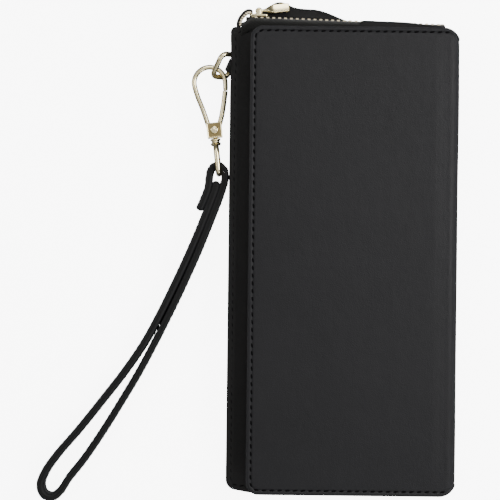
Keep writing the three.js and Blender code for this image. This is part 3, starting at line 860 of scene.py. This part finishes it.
def tailTeeth():
    bm = bmesh.new()
    for place, run in evenly(arch, tail["pitch"]):
        frameOf = Matrix(((run.x, -run.y, 0), (run.y, run.x, 0), (0, 0, 1))).to_4x4()
        size = Matrix.Diagonal((*tail["tooth"], 1))
        where = Matrix.Translation((place.x, place.y, tailHigh.z - tail["sunk"])) @ frameOf
        where = where @ Matrix.Translation((0, tail["inward"], 0)) @ size
        bmesh.ops.create_cube(bm, size=mm, matrix=Matrix.Scale(mm, 4) @ where @ Matrix.Scale(1 / mm, 4))
    bmesh.ops.bevel(bm, geom=bm.edges, offset=0.2 * mm, segments=2, affect="EDGES", profile=0.5, material=-1)
    return objectFrom("zipTailTeeth", bm, looks["zip"])


dressed(tailTeeth(), "zip", "body")
dressed(softened("zipSlider", "zip_slider", looks["gold"], 0.18, 32, toShown), "gold", "slider", "zip_slider")

# The pull's frame is the slider's, turned up at the crown
sliderX = zipper["start"] + 3.0
pullSize = {"crown": 3.8, "lift": 9, "neck": 1.7, "wide": 3.9, "long": 13.2, "thick": 1.15, "twist": 72,
            "start": 0.95, "eye": 1.13, "eyeWire": 0.42, "bow": 0.16, "dish": 0.08, "edge": 0.25}
pullFrame = faceFrame @ Matrix.Translation((sliderX, 0, pullSize["crown"]))
pullFrame = pullFrame @ Matrix.Rotation(-radians(pullSize["lift"]), 4, "Y")


def pullTab():
    bm = bmesh.new()
    columns = 26
    bmesh.ops.create_grid(bm, x_segments=columns, y_segments=6, size=1)
    for v in bm.verts:
        along = (v.co.x + 1) / 2
        x = pullSize["start"] + (pullSize["long"] - pullSize["start"]) * along
        grow = eased(along, 0.08, 0.4)
        half = (pullSize["neck"] + (pullSize["wide"] - pullSize["neck"]) * grow) / 2
        end = max(0, (x - pullSize["long"] + 0.9) / 0.9)
        half *= sqrt(1 - 0.18 * end ** 2)
        high = pullSize["bow"] * sin(pi * along) - pullSize["dish"] * (1 - v.co.y ** 2)
        place = Vector((x, v.co.y * half, high))
        v.co = Matrix.Rotation(radians(pullSize["twist"]) * eased(along, 0.02, 0.48), 3, "X") @ place
    bmesh.ops.transform(bm, matrix=Matrix.Scale(mm, 4) @ pullFrame, verts=bm.verts)
    piece = objectFrom("zipPull", bm, looks["gold"])
    wall = piece.modifiers.new("wall", "SOLIDIFY")
    wall.thickness = pullSize["thick"] * mm
    wall.offset = 0
    bevel = piece.modifiers.new("edges", "BEVEL")
    bevel.width = pullSize["edge"] * mm
    bevel.segments = 3
    bevel.limit_method = "ANGLE"
    bevel.harden_normals = True
    return settled(piece)


dressed(pullTab(), "gold", "pull", "zip_pull")
eyeLoop = [pullFrame @ Vector((x, 0, z)) for x, z in arcPoints((0, 0), pullSize["eye"], 0, 360, 28)[:-1]]
dressed(wire("zipPullEye", eyeLoop, pullSize["eyeWire"], looks["gold"], True), "gold", "pull")


print("stage: ring and hook")
ring = {"wire": 1.155, "width": 11.6, "reach": 8.3, "corner": 2.6, "centre": (-51.5, 84, 8.35)}
ringOut = Vector((-0.76, 0, 0.64)).normalized()
ringBar = Vector((0.38, 0.8, 0.45))
ringBar = (ringBar - ringOut * ringBar.dot(ringOut)).normalized()
ringTurn = Matrix((ringOut, ringBar, ringOut.cross(ringBar))).transposed()
ringFrame = Matrix.Translation(ring["centre"]) @ ringTurn.to_4x4()


def roundLoop(x0, y0, x1, y1, radii, steps=8):
    a, b, c, d = radii
    line = arcPoints((x1 - b, y0 + b), b, -90, 0, steps) + arcPoints((x1 - c, y1 - c), c, 0, 90, steps)
    line += arcPoints((x0 + d, y1 - d), d, 90, 180, steps) + arcPoints((x0 + a, y0 + a), a, 180, 270, steps)
    return line


halfReach, halfWidth = ring["reach"] / 2, ring["width"] / 2
ringLoop = roundLoop(-halfReach, -halfWidth, halfReach, halfWidth, [ring["corner"]] * 4)
ringPoints = [ringFrame @ Vector((x, y, 0)) for x, y in ringLoop]
dressed(wire("dRing", ringPoints, ring["wire"], looks["gold"], True), "gold", "ring", "d_ring")
dressed(softened("ringTab", "ring_tab", looks["strap"], 0.3, 50), "strap", "body", "ring_tab")

hook = {"centre": (-57.9, 76.6, 7.55), "lean": 6.4, "wire": 1.071, "gateWire": 1.12, "arc": 6.75,
        "long": 17.5, "base": 6.6, "half": 3.2, "thick": 2.2, "plate": 0.9, "side": 1.1, "taper": 0.05,
        "rim": 0.75, "sunk": 0.32, "edge": 0.24, "nose": -3.4, "pin": 3.1, "eyeBar": 1.05, "eyeWire": 1.197,
        "eyeReach": 15.2, "swivel": 3.2, "strapWidth": 10}
hookFrame = Matrix.Translation(hook["centre"]) @ Matrix.Rotation(radians(hook["lean"]), 4, "Z")
bow = [(hook["arc"] * cos(pi - pi * i / 12), hook["arc"] * sin(pi - pi * i / 12), 0) for i in range(13)]
hookLine = [(-2.4, -hook["long"] - 1, 0), (-4.2, -11, 0), (-5.9, -5, 0), *bow,
            (hook["arc"] - 0.2, hook["nose"] - 0.7, 0)]


def noseTaper(i, count):
    left = (count - 1 - i) / 2
    return 1 if left >= 1 else 0.8 + 0.2 * sqrt(1 - (1 - left) ** 2)


hookPoints = [hookFrame @ p for p in smoothLine(hookLine, 6)]
hookWire = wire("hookWire", hookPoints, hook["wire"], looks["gold"], taper=noseTaper)
dressed(hookWire, "gold", "hook")


def hookBase():
    top, bottom = -hook["long"] + 0.1, -hook["long"] - hook["base"]
    bm = bmesh.new()
    long = top - bottom
    for z in (1, -1):
        size = Matrix.Diagonal((2 * hook["half"], long, hook["plate"], 1))
        where = Matrix.Translation((0, (top + bottom) / 2, z * (hook["thick"] - 0.4))) @ size
        bmesh.ops.create_cube(bm, size=1, matrix=where)
    side = Matrix.Diagonal((hook["side"], long, 2 * hook["thick"] - 1.2, 1))
    where = Matrix.Translation((hook["side"] / 2 - hook["half"], (top + bottom) / 2, 0)) @ side
    bmesh.ops.create_cube(bm, size=1, matrix=where)
    for v in bm.verts:
        v.co.x *= 1 + hook["taper"] * (v.co.y - bottom) / long
    outer = hook["thick"] - 0.1
    faces = [f for f in bm.faces if abs(f.normal.z) > 0.9 and abs(f.calc_center_median().z) > outer]
    bmesh.ops.inset_individual(bm, faces=faces, thickness=hook["rim"], depth=0)
    for f in faces:
        f.material_index = 1
        bmesh.ops.translate(bm, verts=f.verts, vec=-f.normal * hook["sunk"])
    bmesh.ops.transform(bm, matrix=Matrix.Scale(mm, 4) @ hookFrame, verts=bm.verts)
    piece = objectFrom("hookBase", bm, looks["gold"])
    # The second material, on the sunk faces, is the darker gold: a painted dark reflection
    piece.data.materials.append(looks["painted_reflection_gold"])
    bevel = piece.modifiers.new("edges", "BEVEL")
    bevel.width = hook["edge"] * mm
    bevel.segments = 3
    bevel.limit_method = "ANGLE"
    bevel.harden_normals = True
    return settled(piece)


dressed(hookBase(), "gold", "hook", "hook_frame")


pinY = -hook["long"] - hook["pin"]


def rivet():
    bm = bmesh.new()
    profile = [(0, 0.75), (0.6, 0.73), (0.85, 0.58), (1.05, 0.62), (1.5, 0.5), (1.85, 0.15), (1.9, 0)]
    for side in (1, -1):
        verts = [bm.verts.new((x, 0, z)) for x, z in profile]
        edges = [bm.edges.new(pair) for pair in zip(verts, verts[1:])]
        bmesh.ops.spin(bm, geom=verts + edges, cent=(0, 0, 0), axis=(0, 0, 1), angle=2 * pi, steps=24,
                       use_merge=True)
        for v in [v for v in bm.verts if not v.tag]:
            v.tag = True
            v.co = Vector((v.co.x, v.co.y + pinY, side * (v.co.z + hook["thick"] - 0.1)))
    bmesh.ops.remove_doubles(bm, verts=bm.verts, dist=1e-4)
    bmesh.ops.holes_fill(bm, edges=[e for e in bm.edges if e.is_boundary])
    bmesh.ops.create_cone(bm, cap_ends=True, segments=20, radius1=0.7, radius2=0.7, depth=2 * hook["thick"],
                          matrix=Matrix.Translation((0, pinY, 0)))
    bmesh.ops.recalc_face_normals(bm, faces=bm.faces)
    bmesh.ops.transform(bm, matrix=Matrix.Scale(mm, 4) @ hookFrame, verts=bm.verts)
    return objectFrom("hookRivet", bm, looks["gold"])


dressed(rivet(), "gold", "hook", "hook_rivet")
gateLine = [(0.2, pinY, 0), (2.0, pinY + 1.6, 0), (3.3, -hook["long"] + 1.4, 0), (4.7, -11.5, 0),
            (hook["arc"] - 0.35, hook["nose"] - 0.87, 0)]
gatePoints = [hookFrame @ p for p in smoothLine(gateLine, 6)]
dressed(wire("hookGate", gatePoints, hook["gateWire"], looks["gold"]), "gold", "gate", "hook_gate")

collarY = -hook["long"] - hook["base"] - 0.3
eyeFrame = hookFrame @ Matrix.Translation((0, collarY, 0)) @ Matrix.Rotation(pi / 2, 4, "Y")
eyeHalf = hook["strapWidth"] / 2 + 0.4 + hook["eyeBar"]
eyeLine = roundLoop(-eyeHalf, -hook["eyeReach"], eyeHalf, 0.4 - hook["swivel"], (1.6, 1.6, 3.8, 3.8))
eyePoints = [eyeFrame @ Vector((x, y, 0)) for x, y in eyeLine]
dressed(wire("swivelEye", eyePoints, hook["eyeWire"], looks["gold"], True), "gold", "eye", "hook_eye")


def collar():
    bm = bmesh.new()
    profile = [(0, 1.5), (0.95, 1.5), (0.95, 0.1), (1.9, 0), (2.25, -0.35), (2.2, -0.8), (1.7, -1.1),
               (1.7, -1.6), (2.15, -1.9), (2.3, -2.5), (1.7, -3.1), (0, -3.2)]
    verts = [bm.verts.new((x, y, 0)) for x, y in profile]
    edges = [bm.edges.new(pair) for pair in zip(verts, verts[1:])]
    bmesh.ops.spin(bm, geom=verts + edges, cent=(0, 0, 0), axis=(0, 1, 0), angle=2 * pi, steps=32,
                   use_merge=True)
    bmesh.ops.remove_doubles(bm, verts=bm.verts, dist=1e-4)
    bmesh.ops.recalc_face_normals(bm, faces=bm.faces)
    bmesh.ops.transform(bm, matrix=Matrix.Scale(mm, 4) @ eyeFrame, verts=bm.verts)
    return objectFrom("swivelCollar", bm, looks["gold"])


dressed(collar(), "gold", "eye")


print("stage: wrist strap")
strap = {"width": 10, "thick": 3.0, "inset": 1.9, "pitch": 2.9, "lean": 0.35, "tipY": -104, "eyeY": 36,
         "groove": 0.2, "puff": 0.12, "bare": 3}
# The band's middle, from its inner end out round the loop, back past the eye and down to its outer end
strapRoute = [
    (-54.4, 34), (-55, 30.4), (-57, 25), (-60.3, 16.3), (-65.4, 3.6), (-71, -9.2), (-77.2, -22.4),
    (-84.4, -36), (-92.9, -48.8), (-102.8, -61.8), (-113.2, -75), (-122, -85.4), (-127.2, -93),
    (-129.1, -98.6), (-127.6, -102.6), (-124.2, -103.6), (-120.8, -101), (-117.4, -95.6), (-111, -87.4),
    (-102.6, -74.8), (-94.7, -61.8), (-87.2, -48.9), (-80.6, -36.2), (-74.4, -23.6), (-68.2, -10.4),
    (-62.5, 2.5), (-57.3, 15.6), (-53.6, 25.4), (-51.7, 31.2), (-50.7, 35.6), (-51.4, 39.2),
    (-54.1, 40.8), (-56.7, 39.1), (-57.6, 35.2), (-58, 31.2), (-59.7, 26.4), (-62, 21.2),
]
strapLine = smoothLine(strapRoute, 8)
strapLength, strapAt = lineThrough(strapLine)
barLift = hook["centre"][2] - strap["width"] / 2


# How far the upper edge leans out of the loop, between the eye and the far turn
def strapLean(s, y):
    fade = min(max((14 - strapAt(s)[0].y) / 30, 0), 1)
    return -strap["lean"] * fade * (y + strap["width"] / 2) / strap["width"]


# The band climbs from the table to the eye's bar
def strapPlace(p):
    climb = min(max((p.z - strap["tipY"]) / (strap["eyeY"] - strap["tipY"]), 0), 1)
    return Vector((p.x, p.z, p.y + strap["width"] / 2 + climb * barLift))


def strapRelief(s, y, edge, side):
    puff = strap["puff"] * exp(-((edge - 0.9) / 0.5) ** 2)
    sewn = groove(edge, strap["inset"], strap["groove"], 0.36) + puff
    return side * sewn + strapLean(s, y)


strapCut = {"line": strapLine, "half": strap["width"] / 2, "thick": strap["thick"], "step": 1.4,
            "rowStep": 0.8, "corners": (1.5, 1.5, 1.5, 1.5), "rim": 1.1}
wristStrap = hide("wristStrap", looks["strap"], strapCut, strapRelief, strapPlace)
dressed(wristStrap, "strap", "strap", "wrist_strap")

strapPlaces = []
count = int((strapLength - 2 * strap["bare"]) / strap["pitch"])
for k in range(count):
    s = strap["bare"] + strap["pitch"] * (k + 0.5)
    place, normal = strapAt(s)
    run = Vector((normal.y, -normal.x))
    for side in (1, -1):
        for height in (1, -1):
            y = height * (strap["width"] / 2 - strap["inset"])
            lift = side * (strap["thick"] / 2 - 0.03) + strapLean(s, y)
            at = strapPlace(Vector((place.x + normal.x * lift, y, place.y + normal.y * lift)))
            strapPlaces.append((at, Vector((run.x, run.y, 0)), Vector((normal.x, normal.y, 0)) * side))
strapStitches = stitches("strapStitches", strapPlaces, dict(thread, long=2.1, thick=0.5))
dressed(strapStitches, "thread", "strap")


print("stage: snap")
dressed(softened("snapSocket", "snap_socket", looks["snap"], 0.3), "snap", "body", "snap_socket")
dressed(softened("snapStud", "snap_stud", looks["snap"], 0.3), "snap", "flap", "snap_stud")

low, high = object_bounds()
print("stage: finished")
